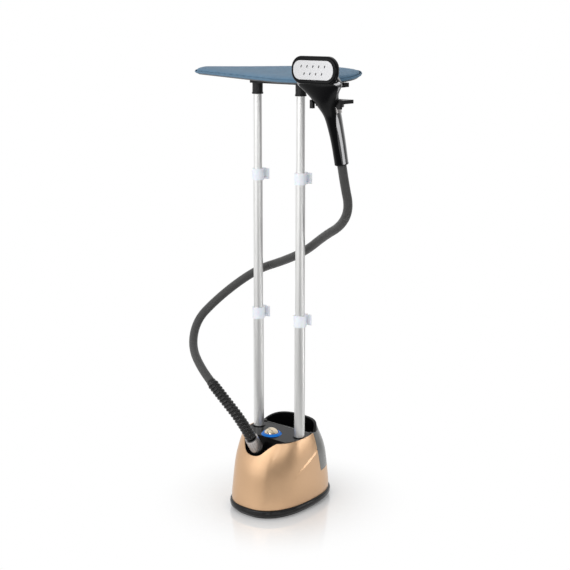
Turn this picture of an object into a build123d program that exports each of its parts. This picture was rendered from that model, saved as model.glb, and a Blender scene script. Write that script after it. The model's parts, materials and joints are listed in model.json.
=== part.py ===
from build123d import *
import os
from math import acos, atan2, copysign, cos, pi, radians, sin, sqrt, tan

# Upright garment steamer: a base with a boiler and a lift-out tank, a telescopic twin mast, a
# tilting ironing board, and a steam handset that hangs in a fork on the end of its hose.
# Millimetres, +Z up. The origin is on the floor under the middle of the base, the hose leaves the
# base towards -Y, and the two mast tubes stand side by side along X.

os.makedirs("parts", exist_ok=True)

# Clearances
RUNNING_GAP = 0.05
SLIDE_GAP = 0.3
SEAT_GAP = 0.2

# Foot ring on a drawn-in plinth, with rubber pads set flush in its underside
PAN_H = 28
PAN_FLOOR = 6
PAN_RING = 11
PAN_LEDGE = 5.8
PAN_TOP_ROUND = 5.5
PAN_BOTTOM_ROUND = 12
PLINTH_H = 5
PLINTH_STEP = 1
PAD_R = 12
PAD_H = 3
PAD_X = 64
PAD_Y = 112

# Body shell: height above the foot ring, and how far the oval has drawn in along X and Y there
OVAL_POWER = 2.5
OVAL_POINTS = 24
SHELL_HALF_X = 117
SHELL_HALF_Y = 167.5
SHELL_WALL = 3
SHELL_TAPER = [(0, 0, 0), (72, 1.5, 8), (117, 3, 16.5), (155, 5, 30.5), (189, 9, 49.5), (224, 16, 64.5)]
RIM_Z = 230
RIM_SLOPE = 0.055

# Dip in the rim for the hose: half width and rise above its lowest point
NOTCH_Z = 184
NOTCH_CURVE = [(28, 6), (42, 19), (57, 34), (78, 48)]

# Crease on each flank: place and height of its ends, and how deep and wide it is cut there
CREASE_ENDS = [(-71, 120, 0.6, 3), (49, 183, 2, 8)]
CREASE_STEPS = 8
CREASE_STEEP = 0.4
CREASE_REACH = 10

# Deck under the rim, with a lower basin in front for the hose
DECK_Z = 228
DECK_T = 3
DECK_FRONT_Y = -77
BASIN_Z = 180
BASIN_BACK_Y = -86

# Mast: two telescopic legs of three tubes each
MAST_X = 82
MAST_Y = -9
LOWER_OD = 32
MID_OD = 28.5
UPPER_OD = 25
UPPER_WALL = 1.2
CUP_WALL = 4.4
CUP_BOTTOM_Z = 120
CUP_FLOOR = 4
CUP_LIP = 2
CLAMP_H = 34
CLAMP_WALL = 3.2
CLAMP_LIP = 7
LOWER_CLAMP_Z = 592
UPPER_CLAMP_Z = 1017
TUBE_OVERLAP = 145
GLIDE_H = 8
GLIDE_STEM = 12

# Flip levers of the clamps
EAR_HALF_X = 7
EAR_REACH = 12
EAR_T = 6
LEVER_PIN_R = 2
LEVER_KNUCKLE_R = 5.5
LEVER_NECK = 10
LEVER_LENGTH = 21
LEVER_T = 5
LEVER_TRIM = 1

# Top of the mast
SOCKET_Z = 1253.5
SOCKET_OD = 31
SOCKET_FLANGE = 1.2
SOCKET_FLANGE_H = 5
SOCKET_CAP = 5.5
BEAM_Z = 1285
BEAM_T = 12
BEAM_HALF_Y = 12
BEAM_LEFT_X = -104
BEAM_RIGHT_X = 246
BEAM_ROUND = 4

# Ironing board about its hinge: a nose circle, straight flanks, belly arcs and a tail arc
HINGE_Z = 1305.5
HINGE_PIN_R = 2.5
BOARD_TILT = 10
LUG_HALF_X = 6
LUG_R = 4.5
BEARING_T = 13
BEARING_HALF_Y = 9
BEARING_LOW = -6
NOSE_X = -294.5
NOSE_R = 30
BELLY_X = 96
BELLY_HALF = 91.5
BELLY_R = 375
TAIL_R = 68
TRAY_LOW = 0.5
TRAY_HIGH = 8
TRAY_SKIN = 3
TRAY_WALL = 4
TRAY_TOP_INSET = 1
TRAY_LOW_INSET = 10.5
TRAY_RIB_T = 3
TRAY_RIB_X = (-230, -150, 10, 165)

# Padded cover: height above the tray, and how far its outline has drawn in there
COVER_LAYERS = [(0, 2.5), (3, 0), (6, 1.2), (8.5, 5), (10, 13), (10.5, 26)]

# Handset: depth and height along its spine, with half width and half depth of the section there
HANDSET_X = 260
SPINE = [
    (-48, 1081, 19.5, 19.5),
    (-62, 1136, 20.3, 20.3),
    (-77, 1183, 21.8, 21.8),
    (-92, 1220, 25, 24),
    (-112, 1250, 34.5, 26),
    (-131, 1275, 51, 23),
    (-149, 1301, 76, 13.5),
    (-145, 1322, 60, 12),
]
SPINE_STEPS = 3
HANDSET_WALL = 2.4
SPLIT_LINE = [(-57, 1060), (-63, 1081), (-103, 1218), (-121, 1248), (-144, 1279), (-158, 1301), (-158, 1400)]

# Steam head: depth, half width and half height of its sections, from the front to the back
HEAD_Z = 1337
HEAD_SECTIONS = [(-164, 76, 36.5), (-157, 72.5, 34.5), (-148, 63, 29.5), (-138, 48, 22), (-130, 36, 15)]
HEAD_CORNER = 0.9
BEZEL_T = 12
BEZEL_ROUND = 5
BEZEL_LIP = 5
PLATE_HALF_X = 66.5
PLATE_HALF_Z = 25
PLATE_T = 3
PLATE_PROUD = 1
PLATE_GAP = 0.5
JET_PITCH = 19.7
JET_ROW = 9.6
JET_LENGTH = 7.5
JET_WIDTH = 3.2
JET_SLANT = 68
CHAMBER_MARGIN = 6
CHAMBER_DEPTH = 14
CHAMBER_WALL = 2.5
STEAM_TUBE_R = 6
STEAM_TUBE_BORE_R = 4
STEAM_TUBE_DROP = 8

# Trim on the handset
COLLAR_LOW = 1222
COLLAR_HIGH = 1235
COLLAR_PROUD = 2.5
CUFF_LENGTH = 16
CUFF_FLANGE = 3
HANDLE_SCREW_STATIONS = (1, 2)
HANDLE_SCREW_GRIP = 3

# Fork that carries the handset by its neck
FORK_LOW = 1246
FORK_T = 10
FORK_HALF_X = 44.5
FORK_LEFT_TIP_Y = -134
FORK_RIGHT_TIP_Y = -116
FORK_BACK_Y = -56
FORK_SLOT_Y = -110
FORK_GAP = 0.6
FORK_LIP_H = 13
FORK_LIP_T = 10
FORK_LIP_W = 10
FORK_CUP_R = 38
FORK_CUP_WALL = 5
FORK_CUP_H = 8
ARM_LEFT_X = 228
ARM_RIGHT_X = 250
ARM_T = 10
ARM_DROP = 5

# Water tank behind the mast: its front wall leans forward towards the top
TANK_FLOOR_Z = 104
TANK_TOP_Z = 232
TANK_FRONT_Y = 33
TANK_LEAN = 0.225
TANK_WALL = 2.5
TANK_GAP = 0.4
TANK_MOUTH_HALF_X = 88
CRADLE_T = 3
CRADLE_FLOOR = 6.6
LID_TOP_Z = 251.5
LID_RIM = 8
LID_POCKET_Z = 199
LID_WALL = 2.5
LID_START_Y = 42
LID_CROWN_Y = 104
VALVE_Y = 112
VALVE_R = 11.5
VALVE_STEM_R = 8.8
VALVE_DROP = 7
VALVE_BORE_R = 4
VALVE_STEM_H = 7.5
SEAT_H = 15
SEAT_WALL = 4

# Heater and its fittings
BOILER_HALF_X = 46
BOILER_FRONT_Y = -105
BOILER_BACK_Y = -14
BOILER_LOW = 46
BOILER_HIGH = 128
BOILER_WALL = 5
BOILER_ROUND = 14
BOILER_LEG_R = 6
BOILER_LEG_INSET = 12
ELEMENT_R = 4
ELEMENT_HALF_X = 20
ELEMENT_BEND = 18
THERMOSTAT_R = 10
THERMOSTAT_FLANGE = 6
THERMOSTAT_CAP_R = 7
THERMOSTAT_H = 11
FUSE_T = 8
FUSE_LENGTH = 26
FUSE_H = 10
FUSE_ROUND = 2
STEAM_PIPE_R = 7
STEAM_PIPE_BORE_R = 5
STEAM_PIPE_BEND = 11
STEAM_PIPE_KNEE = 17
FEED_TUBE_R = 4.5
FEED_TUBE_BORE_R = 3
FEED_TUBE_Z = 62
FEED_TUBE_BEND = 10
SCREW_R = 2
SCREW_HEAD_R = 3.6
SCREW_HEAD_H = 2
SCREW_GRIP = 9

# Mains entry
GLAND_Z = 46
GLAND_R = 8
GLAND_FLANGE_R = 12
GLAND_FLANGE_T = 5
GLAND_LENGTH = 16
GLAND_BORE_R = 4.2
TERMINAL_X = 40
TERMINAL_DEPTH = 20
TERMINAL_H = 18
TERMINAL_Y = 128
TERMINAL_WAYS = 3
TERMINAL_HOLE_R = 3

# Dial on the deck
DIAL_Y = -44
DIAL_R = 22
DIAL_SKIRT = 6
DIAL_DOME = 13
DIAL_MARK_W = 2
DIAL_MARK_DEPTH = 5
RING_R = 31.5
RING_TOP_R = 27
RING_H = 5
SWITCH_SIZE = 32
SWITCH_H = 24
SHAFT_R = 3
SHAFT_H = 14
SHAFT_GAP = 1

# Hose outlet: a tilted spigot with its nut, and a ribbed guard over the first bend
HOSE_R = 13
HOSE_BORE_R = 9
OUTLET = (0, -105.5, 188.5)
OUTLET_TILT = 31
BOSS_R = 19
BOSS_TOP = 10
SPIGOT_R = 15
SPIGOT_LOW = -14
SPIGOT_TOP = 30
SPIGOT_BORE_R = 6
SEAL_R = 18
NUT_LOW = 16
NUT_TOP = 60
NUT_R = 20
NUT_FLUTES = 18
NUT_FLUTE_R = 1.6
NUT_END = 5
GUARD_GRIP = 16
GUARD_COLLAR = 20
GUARD_TAIL = 8
GUARD_ROOT_R = 14.6
GUARD_RIB_R = 16.6
GUARD_RIBS = 18
GUARD_PITCH = 11
GUARD_RIB_SHAPE = [(0.1, 0), (0.25, 1), (0.65, 1), (0.8, 0)]

# Free route of the hose between the outlet and the handset, and the runs where it is cut in two
HOSE_FIRST_RUN = 90
HOSE_ROUTE = [
    (-70, -190, 372),
    (-168, -178, 436),
    (-242, -140, 484),
    (-267, -90, 552),
    (-242, -34, 606),
    (-192, 16, 664),
    (-120, 42, 716),
    (-30, 47, 750),
    (62, 41, 793),
    (148, 22, 853),
    (224, 4, 894),
    (264, -14, 950),
]
HOSE_LAST_RUN = 64
HOSE_CUTS = (8, 12)
HOSE_GRIP = 8
BEND_SHARE = 0.45

# Values that follow from the ones above
FAR = 500
PAN_HALF_X = SHELL_HALF_X + PAN_LEDGE
PAN_HALF_Y = SHELL_HALF_Y + PAN_LEDGE
LOWER_ID = MID_OD + 2 * SLIDE_GAP
MID_ID = UPPER_OD + 2 * SLIDE_GAP
UPPER_ID = UPPER_OD - 2 * UPPER_WALL
CUP_FLOOR_Z = CUP_BOTTOM_Z + CUP_FLOOR
LOWER_TOP = LOWER_CLAMP_Z + CLAMP_H / 2 - CLAMP_LIP
MID_TOP = UPPER_CLAMP_Z + CLAMP_H / 2 - CLAMP_LIP
MID_BOTTOM = LOWER_TOP - TUBE_OVERLAP
UPPER_BOTTOM = MID_TOP - TUBE_OVERLAP
UPPER_TOP = BEAM_Z - SOCKET_CAP
BEAM_TOP = BEAM_Z + BEAM_T
HINGE_Y = MAST_Y
LEGS = {"left": -MAST_X, "right": MAST_X}
CRADLE_LOW = TANK_FLOOR_Z - TANK_GAP - CRADLE_FLOOR
HEAD_FRONT_Y = HEAD_SECTIONS[0][0]
BEZEL_FRONT_Y = HEAD_FRONT_Y - BEZEL_T
PLATE_BACK_Y = BEZEL_FRONT_Y - PLATE_PROUD + PLATE_T
CHAMBER_BACK_Y = PLATE_BACK_Y + CHAMBER_DEPTH
FORK_HIGH = FORK_LOW + FORK_T
OUTLET_AXIS = Vector(0, -sin(radians(OUTLET_TILT)), cos(radians(OUTLET_TILT)))


# Shared shapes

def group(solids):
    """Several separate solids as one node."""
    return Part() + list(solids)


def oval_face(half_x, half_y, z):
    """Rounded oval in plan at one height."""
    points = []
    for k in range(OVAL_POINTS):
        turn = 2 * pi * k / OVAL_POINTS
        x = half_x * copysign(abs(cos(turn)) ** (2 / OVAL_POWER), cos(turn))
        y = half_y * copysign(abs(sin(turn)) ** (2 / OVAL_POWER), sin(turn))
        points.append((x, y, z))
    return make_face(Spline(*points, periodic=True))


def shell_block(inset, spare=0):
    """Solid of the body's outer form, drawn in by inset and longer by spare at both ends."""
    faces = []
    last = len(SHELL_TAPER) - 1
    for k, (height, draw_x, draw_y) in enumerate(SHELL_TAPER):
        stretch = {0: -spare, last: spare}.get(k, 0)
        half_x = SHELL_HALF_X - draw_x - inset
        half_y = SHELL_HALF_Y - draw_y - inset
        faces.append(oval_face(half_x, half_y, PAN_H + height + stretch))
    return loft(faces)


def shell_half_sizes(z):
    """Half width and half depth of the body's oval at one height."""
    height = z - PAN_H
    for (low, low_x, low_y), (high, high_x, high_y) in zip(SHELL_TAPER, SHELL_TAPER[1:]):
        if height <= high:
            break
    share = (height - low) / (high - low)
    half_x = SHELL_HALF_X - low_x - (high_x - low_x) * share
    return half_x, SHELL_HALF_Y - low_y - (high_y - low_y) * share


def side_prism(points):
    """Solid with the given outline in the Y-Z plane, running along X."""
    return extrude(Plane.YZ * Polygon(*points, align=None), amount=FAR, both=True)


def block(low, high):
    """Box between two corners."""
    size = [b - a for a, b in zip(low, high)]
    return Pos(*low) * Box(*size, align=(Align.MIN, Align.MIN, Align.MIN))


def rod(start, axis, low, high, radius):
    """Cylinder along an axis, from low to high measured from the start point."""
    foot = Plane(origin=Vector(start) + Vector(axis) * low, z_dir=axis)
    return extrude(foot * Circle(radius), amount=high - low)


def upright(x, y, low, high, radius):
    """Vertical cylinder."""
    return rod((x, y, 0), (0, 0, 1), low, high, radius)


def bend_radii(points):
    """Largest tangent arc at each corner that leaves a tenth of the shorter run straight."""
    radii = []
    for before, corner, after in zip(points, points[1:], points[2:]):
        arriving = Vector(corner) - Vector(before)
        leaving = Vector(after) - Vector(corner)
        half_turn = radians(arriving.get_angle(leaving)) / 2
        radii.append(BEND_SHARE * min(arriving.length, leaving.length) / tan(half_turn))
    return radii


def pipe(points, radii, outer_r, inner_r=0):
    """Tube, or rod with no bore, along straight runs joined by tangent arcs."""
    path = FilletPolyline(*points, radius=radii)
    foot = Plane(origin=path @ 0, z_dir=path % 0)
    solid = sweep(foot * Circle(outer_r), path=path)
    if inner_r:
        solid -= sweep(foot * Circle(inner_r), path=path)
    return solid


# Foot ring and body

def pad_points():
    return [(x, y) for x in (-PAD_X, PAD_X) for y in (-PAD_Y, PAD_Y)]


def leg_points():
    x = BOILER_HALF_X - BOILER_LEG_INSET
    front = BOILER_FRONT_Y + BOILER_LEG_INSET
    back = BOILER_BACK_Y - BOILER_LEG_INSET
    return [(side, y) for side in (-x, x) for y in (front, back)]


def rubber_feet():
    return group(upright(x, y, 0, PAD_H, PAD_R) for x, y in pad_points())


def base_pan():
    pan = extrude(oval_face(PAN_HALF_X, PAN_HALF_Y, PLINTH_H), amount=PAN_H - PLINTH_H, dir=(0, 0, 1))
    pan = fillet(pan.edges().group_by(Axis.Z)[-1], PAN_TOP_ROUND)
    pan = fillet(pan.edges().group_by(Axis.Z)[0], PAN_BOTTOM_ROUND)
    hollow = oval_face(PAN_HALF_X - PAN_RING, PAN_HALF_Y - PAN_RING, PAN_FLOOR)
    pan -= extrude(hollow, amount=PAN_H, dir=(0, 0, 1))
    inset = PAN_BOTTOM_ROUND + PLINTH_STEP
    plinth = oval_face(PAN_HALF_X - inset, PAN_HALF_Y - inset, 0)
    pan = extrude(plinth, amount=(PLINTH_H + PAN_FLOOR) / 2, dir=(0, 0, 1)) + pan
    for x, y in pad_points():
        pan -= upright(x, y, 0, PAD_H, PAD_R + RUNNING_GAP)
    for x, y in leg_points():
        pan -= upright(x, y, 0, PAN_H, SCREW_R + RUNNING_GAP)
        pan -= upright(x, y, 0, SCREW_HEAD_H + SEAT_GAP, SCREW_HEAD_R + RUNNING_GAP)
    return pan


def base_screws():
    screws = []
    for x, y in leg_points():
        head = upright(x, y, SEAT_GAP, SCREW_HEAD_H + SEAT_GAP, SCREW_HEAD_R)
        screws.append(head + upright(x, y, SCREW_HEAD_H, PAN_FLOOR + SCREW_GRIP, SCREW_R))
    return group(screws)


def tank_front(z):
    """Depth of the tank's leaning front face at one height."""
    return TANK_FRONT_Y + (RIM_Z - z) * TANK_LEAN


def behind_tank_front(low, high, offset):
    """Everything behind the leaning front face, moved back by offset, between two heights."""
    front_low = tank_front(low) + offset
    front_high = tank_front(high) + offset
    return side_prism([(front_low, low), (FAR, low), (FAR, high), (front_high, high)])


def over_rim():
    """Everything over the body's rim, which rises towards the tank."""
    rise = RIM_SLOPE * FAR
    return side_prism([(-FAR, RIM_Z - rise), (FAR, RIM_Z + rise), (FAR, FAR), (-FAR, FAR)])


def front_notch():
    """Smooth dip in the rim where the hose comes out."""
    right = [(x, NOTCH_Z + rise) for x, rise in NOTCH_CURVE]
    left = [(-x, z) for x, z in reversed(right)]
    dip = Spline(*left, (0, NOTCH_Z), *right)
    (start_x, start_z), (end_x, end_z) = left[0], right[-1]
    top = Polyline((end_x, end_z), (end_x, FAR), (start_x, FAR), (start_x, start_z))
    return extrude(Plane.XZ * make_face(dip.edges() + top.edges()), amount=FAR)


def side_crease(side):
    """Long wedge for a slanting crease on one flank, with a steep side over a wide bevel."""
    shares = [k / CREASE_STEPS for k in range(CREASE_STEPS + 1)]
    rows = [[a + (b - a) * share for a, b in zip(*CREASE_ENDS)] for share in shares]
    tips = []
    for y, z, depth, _ in rows:
        half_x, half_y = shell_half_sizes(z)
        surface = half_x * (1 - (abs(y) / half_y) ** OVAL_POWER) ** (1 / OVAL_POWER)
        tips.append(Vector(side * (surface - depth), y, z))
    along = (tips[-1] - tips[0]).normalized()
    sections = []
    for tip, (_, _, depth, width) in zip(tips, rows):
        across = Plane(origin=tip, x_dir=along.cross(Vector(0, 0, side)), z_dir=along)
        reach = depth + CREASE_REACH
        bevel = side * width * reach / depth
        steep = -side * CREASE_STEEP * reach
        sections.append(across * Polygon((0, 0), (reach, bevel), (reach, steep), align=None))
    return loft(sections, ruled=True)


def body_shell():
    shell = shell_block(0) - shell_block(SHELL_WALL, spare=1)
    shell -= over_rim()
    shell -= front_notch()
    shell -= behind_tank_front(TANK_FLOOR_Z - TANK_GAP, FAR, -TANK_GAP)
    shell -= rod((0, 0, GLAND_Z), (0, 1, 0), 0, FAR, GLAND_R + RUNNING_GAP)
    for side in (-1, 1):
        shell -= side_crease(side)
    return shell


def outlet_rod(low, high, radius):
    """Cylinder on the hose outlet's tilted axis."""
    return rod(OUTLET, OUTLET_AXIS, low, high, radius)


def outlet_point(distance):
    return Vector(OUTLET) + OUTLET_AXIS * distance


def top_deck():
    back_high = tank_front(DECK_Z) - TANK_GAP - CRADLE_T
    back_low = tank_front(DECK_Z - DECK_T) - TANK_GAP - CRADLE_T
    deck = side_prism([
        (-FAR, BASIN_Z), (BASIN_BACK_Y, BASIN_Z), (DECK_FRONT_Y, DECK_Z), (back_high, DECK_Z),
        (back_low, DECK_Z - DECK_T), (DECK_FRONT_Y + DECK_T, DECK_Z - DECK_T),
        (BASIN_BACK_Y + DECK_T, BASIN_Z - DECK_T), (-FAR, BASIN_Z - DECK_T)])
    for x in LEGS.values():
        deck += upright(x, MAST_Y, CUP_BOTTOM_Z, DECK_Z + CUP_LIP, LOWER_OD / 2 + CUP_WALL)
    boss = outlet_rod(-2 * BOSS_R, BOSS_TOP, BOSS_R)
    deck += boss - block((-FAR, -FAR, -FAR), (FAR, FAR, BASIN_Z - DECK_T))
    deck = deck & shell_block(SHELL_WALL + SEAT_GAP)
    for x in LEGS.values():
        deck -= upright(x, MAST_Y, CUP_FLOOR_Z, FAR, LOWER_OD / 2 + RUNNING_GAP)
    deck -= outlet_rod(-2 * BOSS_R, BOSS_TOP, SPIGOT_R + RUNNING_GAP)
    return deck - upright(0, DIAL_Y, 0, FAR, SHAFT_R + SHAFT_GAP)


def tank_cradle():
    bay = behind_tank_front(CRADLE_LOW, DECK_Z, -TANK_GAP - CRADLE_T)
    bay -= behind_tank_front(TANK_FLOOR_Z - TANK_GAP, FAR, -TANK_GAP)
    bay = bay & shell_block(SHELL_WALL + SEAT_GAP)
    return bay - upright(0, VALVE_Y, 0, TANK_FLOOR_Z, VALVE_R + TANK_GAP)


# Water feed, heater and steam outlet

def feed_valve_seat():
    low = CRADLE_LOW - SEAT_H
    bore_r = VALVE_R + TANK_GAP
    seat = upright(0, VALVE_Y, low, CRADLE_LOW, bore_r + SEAT_WALL)
    seat -= upright(0, VALVE_Y, low + SEAT_WALL, CRADLE_LOW, bore_r)
    return seat - upright(0, VALVE_Y, low, CRADLE_LOW, FEED_TUBE_BORE_R)


def feed_tube():
    top = (0, VALVE_Y, CRADLE_LOW - SEAT_H)
    knee = (0, VALVE_Y, FEED_TUBE_Z)
    end = (0, BOILER_BACK_Y, FEED_TUBE_Z)
    return pipe([top, knee, end], [FEED_TUBE_BEND], FEED_TUBE_R, FEED_TUBE_BORE_R)


def steam_pipe_points():
    knee = outlet_point(SPIGOT_LOW - STEAM_PIPE_KNEE)
    return [Vector(knee.X, knee.Y, BOILER_HIGH), knee, outlet_point(SPIGOT_LOW)]


def boiler():
    low = Vector(-BOILER_HALF_X, BOILER_FRONT_Y, BOILER_LOW)
    high = Vector(BOILER_HALF_X, BOILER_BACK_Y, BOILER_HIGH)
    wall = Vector(BOILER_WALL, BOILER_WALL, BOILER_WALL)
    body = block(low, high)
    body = fillet(body.edges().filter_by(Axis.Z), BOILER_ROUND)
    hollow = block(low + wall, high - wall)
    body -= fillet(hollow.edges().filter_by(Axis.Z), BOILER_ROUND - BOILER_WALL)
    for x, y in leg_points():
        body += upright(x, y, PAN_FLOOR, BOILER_LOW, BOILER_LEG_R)
        body -= upright(x, y, PAN_FLOOR, PAN_FLOOR + SCREW_GRIP, SCREW_R + RUNNING_GAP)
    body -= rod((0, BOILER_BACK_Y, FEED_TUBE_Z), (0, 1, 0), -BOILER_WALL, 0, FEED_TUBE_BORE_R)
    steam_foot = steam_pipe_points()[0]
    return body - rod(steam_foot, (0, 0, 1), -BOILER_WALL, 0, STEAM_PIPE_BORE_R)


def heating_element():
    z = BOILER_LOW - ELEMENT_R - SEAT_GAP
    back = BOILER_BACK_Y - BOILER_LEG_INSET
    front = BOILER_FRONT_Y + BOILER_LEG_INSET
    x = ELEMENT_HALF_X
    points = [(-x, back, z), (-x, front, z), (x, front, z), (x, back, z)]
    return pipe(points, [ELEMENT_BEND, ELEMENT_BEND], ELEMENT_R)


def boiler_side_middle():
    return (BOILER_FRONT_Y + BOILER_BACK_Y) / 2, (BOILER_LOW + BOILER_HIGH) / 2


def thermostat():
    start = (BOILER_HALF_X, *boiler_side_middle())
    body = rod(start, (1, 0, 0), 0, THERMOSTAT_FLANGE, THERMOSTAT_R)
    return body + rod(start, (1, 0, 0), 0, THERMOSTAT_H, THERMOSTAT_CAP_R)


def thermal_fuse():
    y, z = boiler_side_middle()
    low = (-BOILER_HALF_X - FUSE_T, y - FUSE_LENGTH / 2, z - FUSE_H / 2)
    high = (-BOILER_HALF_X, y + FUSE_LENGTH / 2, z + FUSE_H / 2)
    fuse = block(low, high)
    return fillet(fuse.edges().filter_by(Axis.Y).group_by(Axis.X)[0], FUSE_ROUND)


def steam_pipe():
    return pipe(steam_pipe_points(), [STEAM_PIPE_BEND], STEAM_PIPE_R, STEAM_PIPE_BORE_R)


def hose_socket():
    return outlet_rod(SPIGOT_LOW, SPIGOT_TOP, SPIGOT_R) - outlet_rod(SPIGOT_LOW, SPIGOT_TOP, SPIGOT_BORE_R)


def hose_socket_seal():
    high = NUT_LOW - SLIDE_GAP
    return outlet_rod(BOSS_TOP, high, SEAL_R) - outlet_rod(BOSS_TOP, high, SPIGOT_R + RUNNING_GAP)


def hose_nut():
    nut = outlet_rod(NUT_LOW, NUT_TOP, NUT_R)
    nut -= outlet_rod(NUT_LOW, SPIGOT_TOP + SLIDE_GAP, SPIGOT_R + RUNNING_GAP)
    nut -= outlet_rod(NUT_LOW, NUT_TOP, HOSE_R + SLIDE_GAP)
    nut -= outlet_rod(NUT_TOP - GUARD_GRIP - SLIDE_GAP, NUT_TOP, GUARD_ROOT_R + SLIDE_GAP)
    across = Plane(origin=outlet_point(NUT_LOW + NUT_END), z_dir=OUTLET_AXIS)
    for place in PolarLocations(NUT_R, NUT_FLUTES):
        flute = across.location * place * Circle(NUT_FLUTE_R)
        nut -= extrude(flute, amount=NUT_TOP - NUT_LOW - 2 * NUT_END)
    return nut


# Mains entry

def cord_gland():
    start = (0, shell_half_sizes(GLAND_Z)[1] + SEAT_GAP, GLAND_Z)
    axis = (0, 1, 0)
    flange = rod(start, axis, -GLAND_FLANGE_T, GLAND_FLANGE_T, GLAND_FLANGE_R) - shell_block(-SEAT_GAP)
    gland = flange + rod(start, axis, -GLAND_LENGTH, GLAND_FLANGE_T, GLAND_R)
    return gland - rod(start, axis, -GLAND_LENGTH, GLAND_FLANGE_T, GLAND_BORE_R)


def terminal_block():
    low = (-TERMINAL_X / 2, TERMINAL_Y - TERMINAL_DEPTH / 2, PAN_FLOOR)
    high = (TERMINAL_X / 2, TERMINAL_Y + TERMINAL_DEPTH / 2, PAN_FLOOR + TERMINAL_H)
    body = block(low, high)
    pitch = TERMINAL_X / TERMINAL_WAYS
    for k in range(TERMINAL_WAYS):
        x = pitch * (k + 0.5) - TERMINAL_X / 2
        body -= upright(x, TERMINAL_Y, PAN_FLOOR + TERMINAL_H / 2, FAR, TERMINAL_HOLE_R)
    return body


# Dial

def dial_switch():
    top = DECK_Z - DECK_T
    half = SWITCH_SIZE / 2
    body = block((-half, DIAL_Y - half, top - SWITCH_H), (half, DIAL_Y + half, top))
    return body + upright(0, DIAL_Y, top, DECK_Z + SHAFT_H, SHAFT_R)


def knob_light_ring():
    base = Plane.XY.offset(DECK_Z) * Pos(0, DIAL_Y) * Circle(RING_R)
    top = Plane.XY.offset(DECK_Z + RING_H) * Pos(0, DIAL_Y) * Circle(RING_TOP_R)
    return loft([base, top], ruled=True) - upright(0, DIAL_Y, DECK_Z, FAR, DIAL_R + 2 * SLIDE_GAP)


def dial_knob():
    low = DECK_Z + SLIDE_GAP
    crown = DECK_Z + DIAL_SKIRT + DIAL_DOME
    dome_r = (DIAL_R ** 2 + DIAL_DOME ** 2) / (2 * DIAL_DOME)
    knob = upright(0, DIAL_Y, low, crown, DIAL_R) & Pos(0, DIAL_Y, crown - dome_r) * Sphere(dome_r)
    knob -= upright(0, DIAL_Y, low, DECK_Z + SHAFT_H + SLIDE_GAP, SHAFT_R + RUNNING_GAP)
    front = DIAL_Y - DIAL_R
    mark_low = (-DIAL_MARK_W / 2, front, DECK_Z + DIAL_SKIRT)
    return knob - block(mark_low, (DIAL_MARK_W / 2, front + DIAL_MARK_DEPTH, crown))


# Water tank

def tank_mouth():
    """Space over the deck where the tank's front wall and the lid's dish are cut down."""
    back = tank_front(DECK_Z) + TANK_WALL + TANK_GAP + LID_WALL + 1
    return block((-TANK_MOUTH_HALF_X, -FAR, DECK_Z), (TANK_MOUTH_HALF_X, back, FAR))


def water_tank():
    tank = shell_block(0) & behind_tank_front(TANK_FLOOR_Z, TANK_TOP_Z, 0)
    tank -= shell_block(TANK_WALL) & behind_tank_front(TANK_FLOOR_Z + TANK_WALL, FAR, TANK_WALL)
    tank -= tank_mouth()
    return tank - upright(0, VALVE_Y, 0, TANK_FLOOR_Z + TANK_WALL, VALVE_STEM_R + RUNNING_GAP)


def tank_lid():
    rim_low = TANK_TOP_Z + SEAT_GAP
    start, crown = (LID_START_Y, rim_low), (LID_CROWN_Y, LID_TOP_Z)
    arch = TangentArc(crown, start, tangent=(-1, 0))
    side = make_face(arch.edges() + Polyline(start, (FAR, rim_low), (FAR, LID_TOP_Z), crown).edges())
    rim = shell_block(0) - shell_block(LID_RIM, spare=1)
    rim = rim & extrude(Plane.YZ * side, amount=FAR, both=True)
    inset = TANK_WALL + TANK_GAP
    dish = shell_block(inset) & behind_tank_front(LID_POCKET_Z - LID_WALL, rim_low + SEAT_GAP, inset)
    pocket = inset + LID_WALL
    dish -= shell_block(pocket) & behind_tank_front(LID_POCKET_Z, FAR, pocket)
    return rim + (dish - tank_mouth())


def tank_valve():
    low = TANK_FLOOR_Z - VALVE_DROP
    valve = upright(0, VALVE_Y, low, TANK_FLOOR_Z, VALVE_R)
    valve += upright(0, VALVE_Y, TANK_FLOOR_Z, TANK_FLOOR_Z + VALVE_STEM_H, VALVE_STEM_R)
    return valve - upright(0, VALVE_Y, low, TANK_FLOOR_Z, VALVE_BORE_R)


# Mast

def stage_tube(x, low, high, outer_d, inner_d):
    return upright(x, MAST_Y, low, high, outer_d / 2) - upright(x, MAST_Y, low, high, inner_d / 2)


def glides(bottom, inner_d, guide_d):
    """Plugs in the lower ends of one stage, that run in the stage below."""
    plugs = []
    for x in LEGS.values():
        flange = upright(x, MAST_Y, bottom - GLIDE_H, bottom, guide_d / 2 - RUNNING_GAP)
        plugs.append(flange + upright(x, MAST_Y, bottom, bottom + GLIDE_STEM, inner_d / 2 - RUNNING_GAP))
    return group(plugs)


def clamp_outer_r(tube_d):
    return tube_d / 2 + CLAMP_WALL


def lever_pin_y(tube_d):
    return MAST_Y + clamp_outer_r(tube_d) + EAR_REACH / 2


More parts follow.
